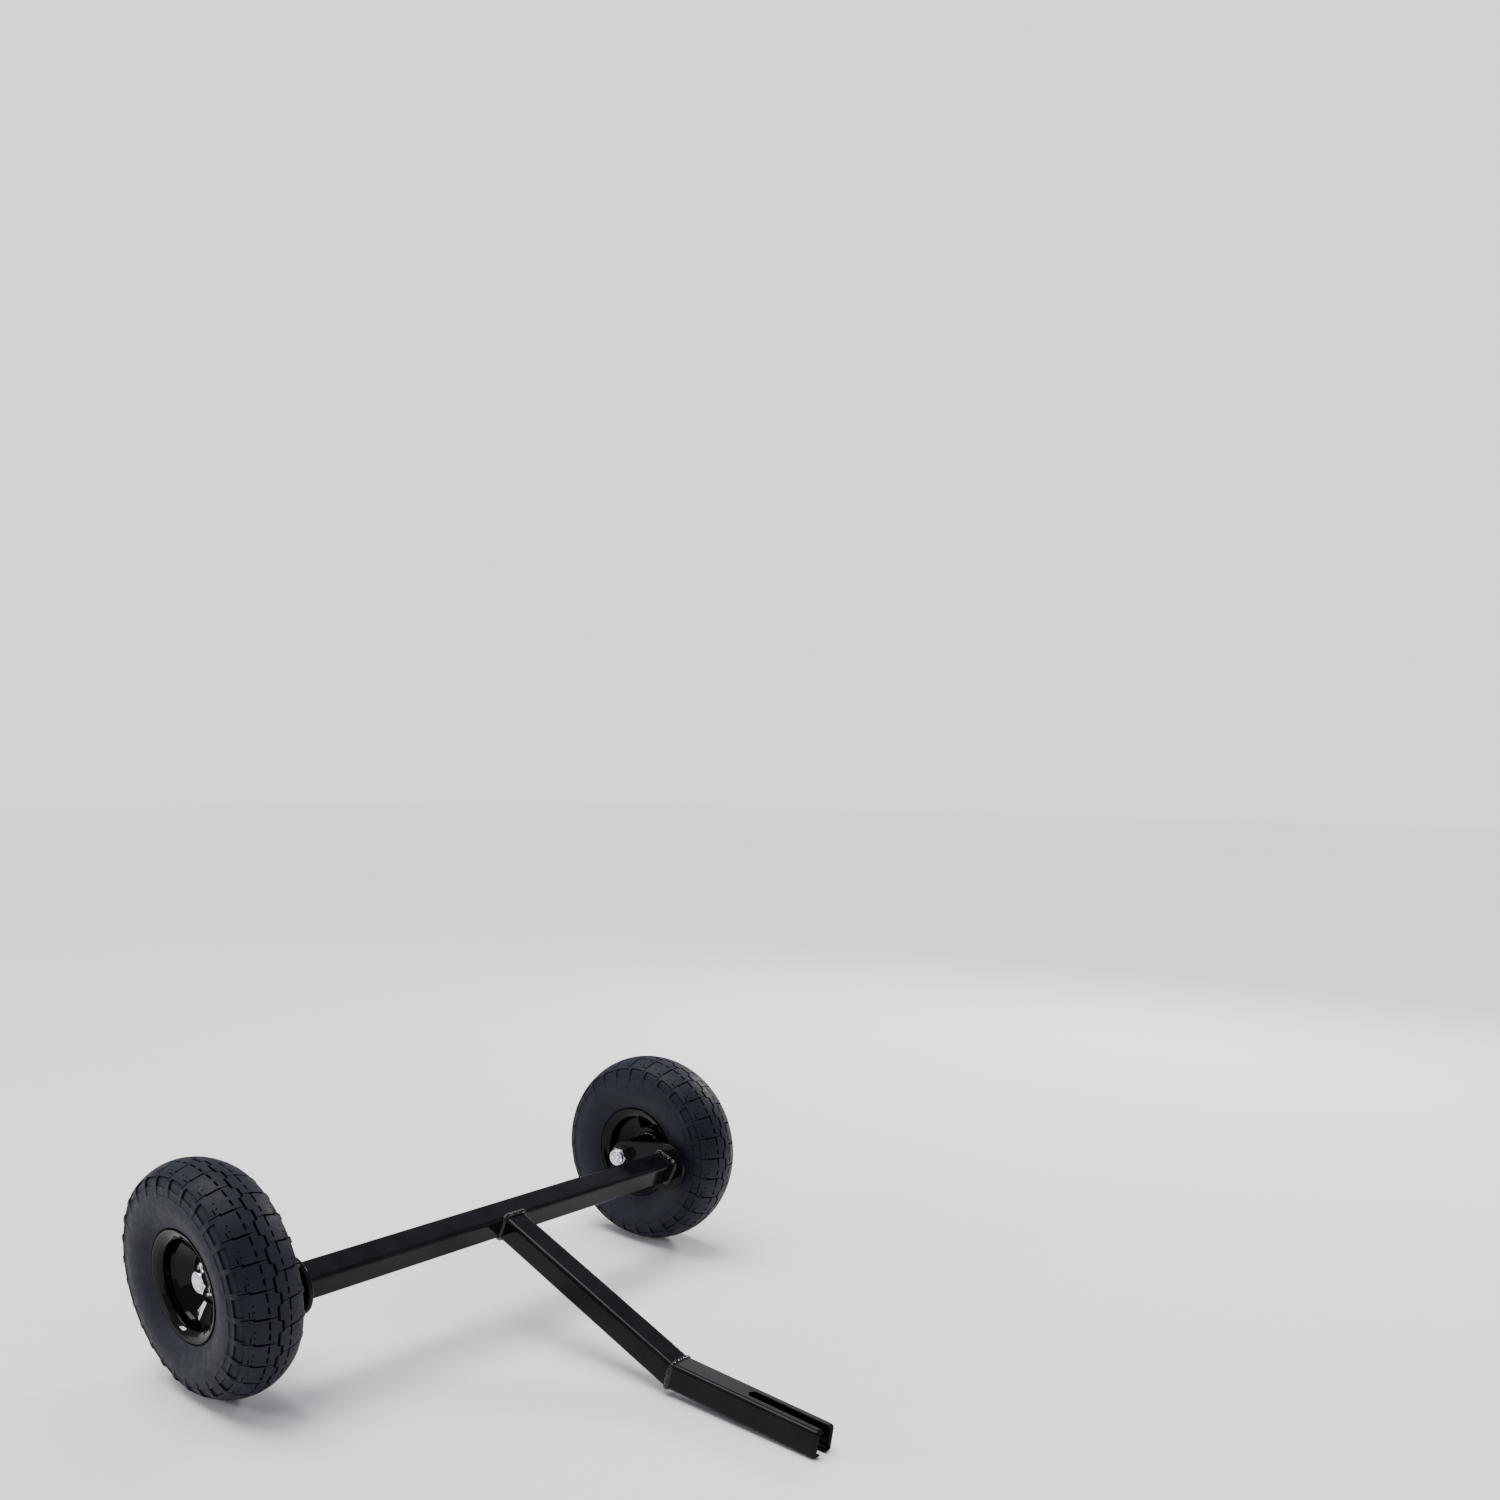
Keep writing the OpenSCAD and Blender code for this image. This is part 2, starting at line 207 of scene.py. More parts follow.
def smooth(obj, angle=SMOOTH_ANGLE, keep_flats=True):
    """Smooth shading. keep_flats lets the large faces decide the normals, so that flats stay flat."""
    take(obj)
    bpy.ops.object.shade_smooth_by_angle(angle=angle)
    if keep_flats:
        modify(obj, "WEIGHTED_NORMAL", mode="FACE_AREA", weight=70, keep_sharp=True)


def cut(obj, tool, operation="DIFFERENCE"):
    """Boolean with a tool, which is then removed."""
    modify(obj, "BOOLEAN", operation=operation, object=tool, solver="EXACT")
    bpy.data.objects.remove(tool)


def join(first, others):
    take(first)
    for other in others:
        other.select_set(True)
    bpy.ops.object.join()
    return first


def twin(obj, name):
    """A copy with its own mesh."""
    copy = obj.copy()
    copy.data = obj.data.copy()
    copy.name = name
    bpy.context.scene.collection.objects.link(copy)
    return copy


def mirrored(obj, name):
    """The same piece for the other side of the cart."""
    copy = twin(obj, name)
    settle(copy, Matrix.Scale(-1, 4, (1, 0, 0)))
    edit(copy)
    bpy.ops.mesh.select_all(action="SELECT")
    bpy.ops.mesh.normals_make_consistent(inside=False)
    done()
    return copy


# %% [markdown]
# Paint, plate and rubber are node materials. Each starts from one Principled shader. A helper adds noise in
# object coordinates, so that a pattern has the same scale on every piece, and the noise then drives colour,
# roughness or bump. Values that are the same everywhere are typed straight into the shader.

# %% Helpers for materials
def new_finish(name, colour, roughness, metallic=0.0, **sockets):
    material = bpy.data.materials.new(name)
    material.use_nodes = True
    shader = material.node_tree.nodes["Principled BSDF"]
    shader.inputs["Base Color"].default_value = (*colour, 1)
    shader.inputs["Roughness"].default_value = roughness
    shader.inputs["Metallic"].default_value = metallic
    for socket, value in sockets.items():
        shader.inputs[socket.replace("_", " ")].default_value = value
    return material


def noise(material, scale, detail=3.0):
    """Noise on object coordinates: scale is in features for each metre."""
    nodes, links = material.node_tree.nodes, material.node_tree.links
    place = nodes.get("place") or nodes.new("ShaderNodeTexCoord")
    place.name = "place"
    texture = nodes.new("ShaderNodeTexNoise")
    texture.inputs["Scale"].default_value = scale
    texture.inputs["Detail"].default_value = detail
    links.new(place.outputs["Object"], texture.inputs["Vector"])
    return texture.outputs["Fac"]


def vary_colour(material, factor, dark, light, low=0.35, high=0.65):
    nodes, links = material.node_tree.nodes, material.node_tree.links
    colours = nodes.new("ShaderNodeValToRGB")
    colours.color_ramp.elements[0].position = low
    colours.color_ramp.elements[0].color = (*dark, 1)
    colours.color_ramp.elements[1].position = high
    colours.color_ramp.elements[1].color = (*light, 1)
    links.new(factor, colours.inputs["Fac"])
    links.new(colours.outputs["Color"], nodes["Principled BSDF"].inputs["Base Color"])


def vary_roughness(material, factor, smoothest, roughest):
    nodes, links = material.node_tree.nodes, material.node_tree.links
    span = nodes.new("ShaderNodeMapRange")
    span.inputs["From Min"].default_value = 0.3
    span.inputs["From Max"].default_value = 0.7
    span.inputs["To Min"].default_value = smoothest
    span.inputs["To Max"].default_value = roughest
    links.new(factor, span.inputs["Value"])
    links.new(span.outputs["Result"], nodes["Principled BSDF"].inputs["Roughness"])


def darken_by(material, attribute, dark):
    """Mixes the base colour towards dark where the mesh's attribute is 1."""
    nodes, links = material.node_tree.nodes, material.node_tree.links
    colour = nodes["Principled BSDF"].inputs["Base Color"]
    reader = nodes.new("ShaderNodeAttribute")
    reader.attribute_name = attribute
    blend = nodes.new("ShaderNodeMixRGB")
    blend.inputs["Color2"].default_value = (*dark, 1)
    links.new(reader.outputs["Fac"], blend.inputs["Fac"])
    links.new(colour.links[0].from_socket, blend.inputs["Color1"])
    links.new(blend.outputs["Color"], colour)


def add_bump(material, heights):
    """heights is a list of (noise, metres). Each bump feeds the next."""
    nodes, links = material.node_tree.nodes, material.node_tree.links
    before = None
    for factor, metres in heights:
        bump = nodes.new("ShaderNodeBump")
        bump.inputs["Distance"].default_value = metres
        links.new(factor, bump.inputs["Height"])
        if before:
            links.new(before.outputs["Normal"], bump.inputs["Normal"])
        before = bump
    links.new(before.outputs["Normal"], nodes["Principled BSDF"].inputs["Normal"])


# %% [markdown]
# The finishes. Powder coat is a black plastic skin baked on the steel: it flows into a mirror that is very
# slightly rippled like orange peel, with specks of dust in it. The rims are enamelled deeper and smoother. Bright
# zinc has a mottled passivated colour. The tyre is a matte charcoal rubber with a fine moulded grain, and the
# floor of its grooves, which little light reaches, is darkened by the mesh attribute called sunk.

# %% The finishes
frame_paint = new_finish("frame_powder_coat", (0.004, 0.004, 0.005), 0.09, Specular_IOR_Level=0.1)
vary_colour(frame_paint, noise(frame_paint, 35), (0.0030, 0.0030, 0.0042), (0.0060, 0.0060, 0.0080))
vary_roughness(frame_paint, noise(frame_paint, 60), 0.05, 0.13)
add_bump(frame_paint, [(noise(frame_paint, 330, 2), 0.00003), (noise(frame_paint, 2400, 1), 0.000006)])

weld_paint = new_finish("weld_powder_coat", (0.004, 0.004, 0.005), 0.1, Specular_IOR_Level=0.3)
vary_colour(weld_paint, noise(weld_paint, 90), (0.0035, 0.0035, 0.0045), (0.008, 0.008, 0.010))
vary_roughness(weld_paint, noise(weld_paint, 200), 0.05, 0.16)
add_bump(weld_paint, [(noise(weld_paint, 700, 3), 0.0003)])

rim_paint = new_finish("rim_enamel", (0.002, 0.002, 0.003), 0.06, Specular_IOR_Level=0.12)
vary_colour(rim_paint, noise(rim_paint, 30), (0.0015, 0.0015, 0.002), (0.0035, 0.0035, 0.0045))
vary_roughness(rim_paint, noise(rim_paint, 45), 0.035, 0.09)
add_bump(rim_paint, [(noise(rim_paint, 160, 2), 0.00003)])

zinc = new_finish("bright_zinc", (0.60, 0.61, 0.64), 0.2, 1.0)
vary_colour(zinc, noise(zinc, 320, 4), (0.34, 0.35, 0.38), (0.78, 0.79, 0.82))
vary_roughness(zinc, noise(zinc, 500, 4), 0.10, 0.30)
add_bump(zinc, [(noise(zinc, 600, 4), 0.00014)])

bearing_steel = new_finish("bearing_steel", (0.72, 0.73, 0.75), 0.16, 1.0)
vary_colour(bearing_steel, noise(bearing_steel, 260), (0.55, 0.56, 0.58), (0.82, 0.83, 0.85))
vary_roughness(bearing_steel, noise(bearing_steel, 400), 0.1, 0.26)
add_bump(bearing_steel, [(noise(bearing_steel, 1500, 2), 0.00001)])

plain_steel = new_finish("oiled_steel", (0.42, 0.43, 0.45), 0.35, 1.0)
vary_colour(plain_steel, noise(plain_steel, 180, 4), (0.26, 0.26, 0.27), (0.52, 0.53, 0.54))
vary_roughness(plain_steel, noise(plain_steel, 240), 0.25, 0.5)
add_bump(plain_steel, [(noise(plain_steel, 900), 0.00004)])

shield_steel = new_finish("bearing_shield", (0.05, 0.05, 0.055), 0.4, 0.6)
vary_colour(shield_steel, noise(shield_steel, 300), (0.03, 0.03, 0.033), (0.07, 0.07, 0.075))
vary_roughness(shield_steel, noise(shield_steel, 500), 0.32, 0.5)
add_bump(shield_steel, [(noise(shield_steel, 1200), 0.00002)])

nylon = new_finish("white_nylon", (0.72, 0.72, 0.68), 0.45, Subsurface_Weight=0.1)
vary_colour(nylon, noise(nylon, 220), (0.66, 0.66, 0.61), (0.78, 0.78, 0.75))
vary_roughness(nylon, noise(nylon, 500), 0.38, 0.55)
add_bump(nylon, [(noise(nylon, 1400), 0.00003)])

rubber = new_finish("tyre_rubber", (0.009, 0.0102, 0.015), 0.5, Specular_IOR_Level=0.14)
vary_colour(rubber, noise(rubber, 28, 5), (0.0066, 0.0080, 0.0135), (0.0105, 0.0125, 0.0200), 0.3, 0.7)
# Painted shade: the base colour is mixed towards near-black on the groove floors, by their depth.
darken_by(rubber, "sunk", (0.0008, 0.0008, 0.0010))
vary_roughness(rubber, noise(rubber, 130, 4), 0.45, 0.62)
add_bump(rubber, [(noise(rubber, 900, 4), 0.00008), (noise(rubber, 3600, 2), 0.00003)])

floor_finish = new_finish("pale_floor", (0.9, 0.9, 0.9), 0.75, Specular_IOR_Level=0.1)
vary_colour(floor_finish, noise(floor_finish, 0.6), (0.88, 0.88, 0.885), (0.9, 0.9, 0.9))
floor.data.materials.append(floor_finish)

FINISH_OF_SLOT = {"frame_paint": frame_paint, "weld_paint": weld_paint, "rim_paint": rim_paint, "zinc": zinc,
    "bearing_steel": bearing_steel, "plain_steel": plain_steel, "shield": shield_steel, "nylon": nylon,
    "tyre_rubber": rubber}
print("finishes made:", len(FINISH_OF_SLOT))

# %% [markdown]
# Each loaded node keeps its place and gets its own finish. Those that are hidden inside, such as the balls, the
# spacer tubes and the shields, stay as they are. A piece made below stands in for its node and takes over its
# finish and its body, so that it turns with its wheel.

# %% Finish every node, and a helper that fits a piece in its place
slot_of_node = {part["node"]: part["material_slot"] for part in frame["record"]["subparts"]}
body_of_node = {node: body for body, nodes in frame["record"]["behaviour"]["bodies"].items() for node in nodes}
for node_name, node_object in frame["nodes"].items():
    node_object.data.materials.clear()
    node_object.data.materials.append(FINISH_OF_SLOT[slot_of_node[node_name]])


def fit(piece, node_name):
    """The piece takes over the node's name, finish and body."""
    slot = slot_of_node[node_name]
    piece.name = node_name + "_finished"
    piece.data.name = piece.name
    piece.data.materials.clear()
    piece.data.materials.append(FINISH_OF_SLOT[slot])
    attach(piece, body_of_node[node_name])
    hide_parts(node_name)
    print(piece.name, len(piece.data.polygons), "faces")


# %% [markdown]
# Sizes of the frame, in metres. The places come from the loaded nodes: the middle of the cross tube from its own
# box, the wheel centres from the joints, and the tilt of the whole frame from the line between the two.

# %% Sizes and places
TUBE = 0.03175
TUBE_WALL = 0.003
TUBE_CORNER = 0.005
TONGUE_LENGTH = 0.290
HITCH_LENGTH = 0.184
HITCH_BEND = math.radians(18.6)
SLOT_WIDTH = 0.012
SLOT_LENGTH = 0.092
PLATE_DROP = math.radians(21.1)
PLATE_TUBE_R = 0.033
PLATE_AXLE_R = 0.020

tube_low, tube_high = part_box("cross_tube")
plate_low, plate_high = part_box("right_axle_plate")
right_joint = next(joint for joint in frame["joints"] if joint["name"] == "right_wheel_spin")
wheel_centre = Vector(right_joint["pos_m"])
cross_middle = (tube_low + tube_high) / 2
cross_length = tube_high.x - tube_low.x
axle_line = Vector((0, wheel_centre.y, wheel_centre.z)) - Vector((0, cross_middle.y, cross_middle.z))
PLATE_REACH = axle_line.length
frame_tilt = math.atan2(axle_line.z, axle_line.y) + PLATE_DROP
to_frame = Matrix.Translation((0, cross_middle.y, cross_middle.z)) @ Matrix.Rotation(frame_tilt, 4, "X")
to_right_wheel = Matrix.Translation(wheel_centre)
elbow = Vector((0, -TONGUE_LENGTH, 0))
mitre_forward = Vector((0, -math.cos(HITCH_BEND / 2), math.sin(HITCH_BEND / 2)))
hitch_forward = Vector((0, -math.cos(HITCH_BEND), math.sin(HITCH_BEND)))
print("the frame leans forwards by", round(math.degrees(frame_tilt), 2), "degrees")

# %% [markdown]
# Square tube is rolled from strip, so its corners are round outside and in. A cube is stretched to the tube's
# outer size, its four long edges are bevelled to the corner radius, its ends are deleted, and Solidify gives the
# wall its thickness inwards. Sweeping a drawn section along a line would do as well, but a bevelled cube needs no
# drawing. The tubes are drawn level, with the cross tube's middle at the origin, and tilted at the end.

# %% A square tube along an axis
def tube_blank(axis, length, middle, turn=0.0):
    """A solid square bar with round corners: axis is 0 for X or 1 for Y, and turn is about X."""
    size = [TUBE, TUBE, TUBE]
    size[axis] = length
    bpy.ops.object.select_all(action="DESELECT")
    bpy.ops.mesh.primitive_cube_add(size=1, location=middle, rotation=(turn, 0, 0))
    bar = bpy.context.object
    bar.scale = size
    bpy.ops.object.transform_apply(location=False, rotation=False, scale=True)
    pick_edges(bar, lambda a, b: abs(a[axis] - b[axis]) > length / 2)
    bpy.ops.mesh.bevel(offset=TUBE_CORNER, segments=8, affect="EDGES")
    done()
    pick_faces(bar, lambda centre, normal: abs(normal[axis]) > 0.9)
    bpy.ops.mesh.delete(type="FACE")
    done()
    settle(bar)
    return bar


def give_wall(tube):
    modify(tube, "SOLIDIFY", thickness=TUBE_WALL, offset=-1, use_even_offset=True)


def ease_edges(obj, width, segments=2, degrees=35):
    """Rounds every edge that is sharper than the given angle."""
    modify(obj, "BEVEL", width=width, segments=segments, limit_method="ANGLE",
        angle_limit=math.radians(degrees), use_clamp_overlap=True)


def trim(obj, place, normal):
    """Cuts off what lies beyond a plane."""
    edit(obj)
    bpy.ops.mesh.select_all(action="SELECT")
    bpy.ops.mesh.bisect(plane_co=place, plane_no=normal, clear_outer=True)
    done()


EASE = 0.0005
cross = tube_blank(0, cross_length, (0, 0, 0))
give_wall(cross)
ease_edges(cross, EASE)
settle(cross, to_frame)
smooth(cross)
fit(cross, "cross_tube")

# %% [markdown]
# The tongue butts against the front of the cross tube and is mitred at the elbow, where the hitch tube meets it.
# Both are cut with a bisecting plane, as a mitre saw would. The hitch slot is milled through both walls from the
# open end: the cutter is a block whose far end is bevelled round, taken away with a Boolean.

# %% Tongue and hitch tubes
tongue = tube_blank(1, TONGUE_LENGTH + TUBE, (0, -(TONGUE_LENGTH + TUBE) / 2 - TUBE / 2, 0))
trim(tongue, elbow, mitre_forward)
give_wall(tongue)
settle(tongue, to_frame)
smooth(tongue)
fit(tongue, "tongue_tube")

hitch_middle = elbow + hitch_forward * (HITCH_LENGTH - TUBE) / 2
hitch = tube_blank(1, HITCH_LENGTH + TUBE, hitch_middle, -HITCH_BEND)
trim(hitch, elbow, -mitre_forward)
give_wall(hitch)

slot_block = SLOT_LENGTH + TUBE
bpy.ops.object.select_all(action="DESELECT")
bpy.ops.mesh.primitive_cube_add(size=1)
cutter = bpy.context.object
cutter.scale = (SLOT_WIDTH, slot_block, 2 * TUBE)
bpy.ops.object.transform_apply(scale=True)
pick_edges(cutter, lambda a, b: a.y > 0 and b.y > 0 and abs(a.z - b.z) > TUBE)
bpy.ops.mesh.bevel(offset=SLOT_WIDTH / 2 * 0.999, segments=12, affect="EDGES")
done()
cutter.rotation_euler = (-HITCH_BEND, 0, 0)
cutter.location = elbow + hitch_forward * (HITCH_LENGTH - SLOT_LENGTH + slot_block / 2)
settle(cutter)
cut(hitch, cutter)
ease_edges(hitch, EASE)
settle(hitch, to_frame)
smooth(hitch)
fit(hitch, "hitch_tube")

# %% [markdown]
# An axle plate is a pear of flat steel: a large round on the tube and a small one on the axle, joined by straight
# tangents. Two discs and Convex Hull give exactly that outline. Its edge is eased, because a laser-cut edge is
# rounded by the paint, and a drilled hole takes the axle bolt.

# %% Axle plates
BOLT_R = 0.0079375
HOLE_FIT = 0.00025
plate_thickness = plate_high.x - plate_low.x
plate_x = (plate_high.x + plate_low.x) / 2
axle_in_frame = Vector((0, PLATE_REACH * math.cos(PLATE_DROP), -PLATE_REACH * math.sin(PLATE_DROP)))


def disc(radius, depth, place, corners=72):
    """A solid disc whose axis is X."""
    bpy.ops.object.select_all(action="DESELECT")
    bpy.ops.mesh.primitive_cylinder_add(vertices=corners, radius=radius, depth=depth, location=place,
        rotation=(0, math.pi / 2, 0))
    round_bar = bpy.context.object
    settle(round_bar)
    return round_bar


plate = disc(PLATE_TUBE_R, plate_thickness, (plate_x, 0, 0))
plate = join(plate, [disc(PLATE_AXLE_R, plate_thickness, axle_in_frame + Vector((plate_x, 0, 0)))])
edit(plate)
bpy.ops.mesh.select_all(action="SELECT")
bpy.ops.mesh.convex_hull()
bpy.ops.mesh.select_all(action="SELECT")
bpy.ops.mesh.dissolve_limited(angle_limit=math.radians(1))
done()
ease_edges(plate, 0.0014, 4, 60)
cut(plate, disc(BOLT_R + HOLE_FIT, 3 * plate_thickness, axle_in_frame + Vector((plate_x, 0, 0))))
settle(plate, to_frame)
smooth(plate)
left_plate = mirrored(plate, "left_plate")
fit(plate, "right_axle_plate")
fit(left_plate, "left_axle_plate")

# %% [markdown]
# A weld bead is a row of overlapping puddles of steel. One flattened ball is the puddle, and copies of it are laid
# a little apart along the joint, each a little different. A voxel remesh then fuses them into one rippled skin,
# which a displaced torus could only imitate with ripples that are all alike.

# %% Weld beads
RIPPLE_STEP = 0.0024
BEAD_GRAIN = 0.00055
puddles = random.Random(11)


def square_path(half, corner, step):
    """Points round a square with round corners, at even steps, as (across, up, outward angle)."""
    flat = half - corner
    side = 2 * flat
    quarter = side + corner * math.pi / 2
    count = round(4 * quarter / step)
    points = []
    for number in range(count):
        travelled = number / count * 4 * quarter
        face, along = divmod(travelled, quarter)
        turn = Matrix.Rotation(face * math.pi / 2, 2)
        if along < side:
            point = Vector((half, along - flat))
            angle = 0.0
        else:
            angle = (along - side) / corner
            point = Vector((flat + corner * math.cos(angle), flat + corner * math.sin(angle)))
        points.append((*(turn @ point), angle + face * math.pi / 2))
    return points


def lay_bead(name, centres, radius, squash=0.8):
    """centres is a list of points. Returns the fused bead."""
    bpy.ops.object.select_all(action="DESELECT")
    bpy.ops.mesh.primitive_uv_sphere_add(segments=14, ring_count=10, radius=radius)
    puddle = bpy.context.object
    copies = []
    for number, centre in enumerate(centres):
        ahead = centres[(number + 1) % len(centres)] - centre
        copy = twin(puddle, name)
        size = puddles.uniform(0.88, 1.1)
        wander = Vector([puddles.uniform(-0.08, 0.08) * radius for _ in range(3)])
        lie = ahead.to_track_quat("Z", "X").to_matrix().to_4x4()
        copy.matrix_world = Matrix.Translation(centre + wander) @ lie @ Matrix.Diagonal((size, size, squash, 1))
        copies.append(copy)
    bpy.data.objects.remove(puddle)
    bead = join(copies[0], copies[1:])
    settle(bead)
    modify(bead, "REMESH", mode="VOXEL", voxel_size=BEAD_GRAIN)
    modify(bead, "SMOOTH", factor=0.5, iterations=2)
    smooth(bead, math.pi, keep_flats=False)
    bead.name = name
    return bead


half_tube = TUBE / 2
PLATE_BEAD_R = 0.0036
plate_bead_x = plate_low.x - 0.0010
ring = square_path(half_tube + 0.0010, TUBE_CORNER + 0.0010, RIPPLE_STEP)
plate_bead = lay_bead("plate_bead", [Vector((plate_bead_x, across, up)) for across, up, _ in ring], PLATE_BEAD_R)
settle(plate_bead, to_frame)
left_plate_bead = mirrored(plate_bead, "left_plate_bead")
fit(plate_bead, "right_plate_weld")
fit(left_plate_bead, "left_plate_weld")

TONGUE_BEAD_R = 0.0036
tongue_bead = lay_bead("tongue_bead",
    [Vector((across, -half_tube - 0.0004 + 0.0022 * max(0, abs(up) - 0.009) / 0.007, up))
        for across, up, _ in square_path(half_tube + 0.0006, TUBE_CORNER, RIPPLE_STEP)], TONGUE_BEAD_R)
settle(tongue_bead, to_frame)
fit(tongue_bead, "tongue_weld")

ELBOW_BEAD_R = 0.0040
mitre_up = mitre_forward.cross(Vector((1, 0, 0)))
mitre_up = mitre_up if mitre_up.z > 0 else -mitre_up
stretch = 1 / math.cos(HITCH_BEND / 2)
elbow_bead = lay_bead("elbow_bead",
    [elbow + Vector((across, 0, 0)) + mitre_up * up * stretch
        for across, up, _ in square_path(half_tube - 0.0019, TUBE_CORNER - 0.0019, RIPPLE_STEP)], ELBOW_BEAD_R)
settle(elbow_bead, to_frame)
fit(elbow_bead, "elbow_weld")

# %% [markdown]
# Most of a wheel is turned: the rims are spun or pressed, and the bearings and hubs are machined. A lathe works
# the same way in Blender. A point is extruded along the outline, and the outline is spun once round the axle. The
# outlines are written as (distance outboard, radius, corner radius), and a helper rounds each corner with an arc.

# %% A lathe
def rounded_outline(corners, closed, steps=5):
    """Replaces each corner that has a radius by an arc."""
    points = []
    count = len(corners)
    for number, (x, r, radius) in enumerate(corners):
        here = Vector((x, r))
        if radius == 0 or (not closed and number in (0, count - 1)):
            points.append(here)
            continue
        back = (Vector(corners[number - 1][:2]) - here).normalized()
        on = (Vector(corners[(number + 1) % count][:2]) - here).normalized()
        half_angle = back.angle(on) / 2
        reach = radius / math.tan(half_angle)
        hub = here + (back + on).normalized() * radius / math.sin(half_angle)
        first = here + back * reach - hub
        last = here + on * reach - hub
        sweep = first.angle_signed(last)
        for step in range(steps + 1):
            points.append(hub + Matrix.Rotation(-sweep * step / steps, 2) @ first)
    return points


def lathe(name, corners, closed=True, segments=96):
    """Spins an outline of (x, radius, corner radius) about the X axis."""
    points = rounded_outline(corners, closed)
    if closed:
        points.append(points[0])
    bpy.ops.object.select_all(action="DESELECT")
    bpy.ops.mesh.primitive_plane_add(size=1e-4)
    work = bpy.context.object
    work.name = name
    edit(work)
    bpy.ops.mesh.select_all(action="SELECT")
    bpy.ops.mesh.merge(type="CENTER")
    bpy.ops.transform.translate(value=(points[0].x, 0, points[0].y))
    for before, after in zip(points, points[1:]):
        step = after - before
        bpy.ops.mesh.extrude_region_move(TRANSFORM_OT_translate={"value": (step.x, 0, step.y)})
    bpy.ops.mesh.select_all(action="SELECT")
    bpy.ops.mesh.remove_doubles(threshold=1e-7)
    bpy.ops.mesh.select_all(action="SELECT")
    bpy.ops.mesh.spin(steps=segments, angle=2 * math.pi, center=(0, 0, 0), axis=(1, 0, 0))
    done()
    tidy_mesh(work, 2e-6)
    return work


# %% [markdown]
# A rim is two dished steel pressings that meet at the hub. Each one starts flat at the hub, folds out into a
# straight wall that carries the tyre, and flares into a lip with a rolled edge. The outline is the middle of the
# sheet, spun open, and Solidify makes it into steel. The two halves are the same pressing, turned round.

# %% Rims
BEAD_SEAT_R = 0.0508
LIP_HEIGHT = 0.0118
LIP_SPAN = 0.0672
RIM_SHEET = 0.002
WEB_FOLD_X = 0.014
WEB_FLAT = 0.0085
BEARING_R = 0.0174625
HUB_R = BEARING_R + 0.003
LIP_R = BEAD_SEAT_R + LIP_HEIGHT
seat_r = BEAD_SEAT_R - RIM_SHEET / 2
lip_x = LIP_SPAN / 2 - RIM_SHEET / 2
rim_outline = [(RIM_SHEET / 2, HUB_R, 0), (RIM_SHEET / 2, HUB_R + WEB_FLAT, 0.006),
    (WEB_FOLD_X - 0.001, seat_r - 0.0025, 0.004), (WEB_FOLD_X + 0.004, seat_r, 0.003),
    (lip_x - 0.0052, seat_r, 0.003), (lip_x - 0.0022, seat_r + 0.0050, 0.004),
    (lip_x - 0.0006, LIP_R - 0.0036, 0.002), (lip_x + 0.0002, LIP_R - RIM_SHEET / 2, 0)]


def press_rim():
    rim = lathe("rim", rim_outline, closed=False, segments=128)
    modify(rim, "SOLIDIFY", thickness=RIM_SHEET, offset=0, use_even_offset=True)
    ease_edges(rim, 0.0008, 4, 50)
    return rim


outboard_rim = press_rim()
inboard_rim = mirrored(outboard_rim, "inboard_rim")
for rim, end in ((outboard_rim, "outboard"), (inboard_rim, "inboard")):
    settle(rim, to_right_wheel)
    smooth(rim)
    left_rim = mirrored(rim, "left_rim")
    fit(rim, "right_rim_" + end)
    fit(left_rim, "left_rim_" + end)

# %% [markdown]
# The hub is a short thick tube that both bearings are pressed into, welded to the web of the rim on each side.
# The flanged outer ring of a bearing stops against the end of the hub. Both are lathe work with eased corners.

# %% Hubs and bearing rings
hub_low, hub_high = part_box("right_hub_tube")
hub_ends = (hub_low.x - wheel_centre.x, hub_high.x - wheel_centre.x)
hub = lathe("hub", [(hub_ends[0], BEARING_R, 0.0004), (hub_ends[1], BEARING_R, 0.0004),
    (hub_ends[1], HUB_R, 0.0008), (hub_ends[0], HUB_R, 0.0008)])
settle(hub, to_right_wheel)
smooth(hub)
left_hub = mirrored(hub, "left_hub")
fit(hub, "right_hub_tube")
fit(left_hub, "left_hub_tube")

HUB_BEAD_R = 0.0015
hub_bead = None
for bead_x in (RIM_SHEET + 0.0004, -RIM_SHEET - 0.0010):
    bead_reach = HUB_R + 0.0006
    ripples = round(2 * math.pi * bead_reach / 0.0016)
    turns = [2 * math.pi * ripple / ripples for ripple in range(ripples)]
    centres = [Vector((bead_x, bead_reach * math.cos(turn), bead_reach * math.sin(turn))) for turn in turns]
    one_bead = lay_bead("hub_bead", centres, HUB_BEAD_R if bead_x > 0 else 2 * HUB_BEAD_R)
    hub_bead = join(hub_bead, [one_bead]) if hub_bead else one_bead
settle(hub_bead, to_right_wheel)
left_hub_bead = mirrored(hub_bead, "left_hub_bead")
fit(hub_bead, "right_hub_welds")
fit(left_hub_bead, "left_hub_welds")

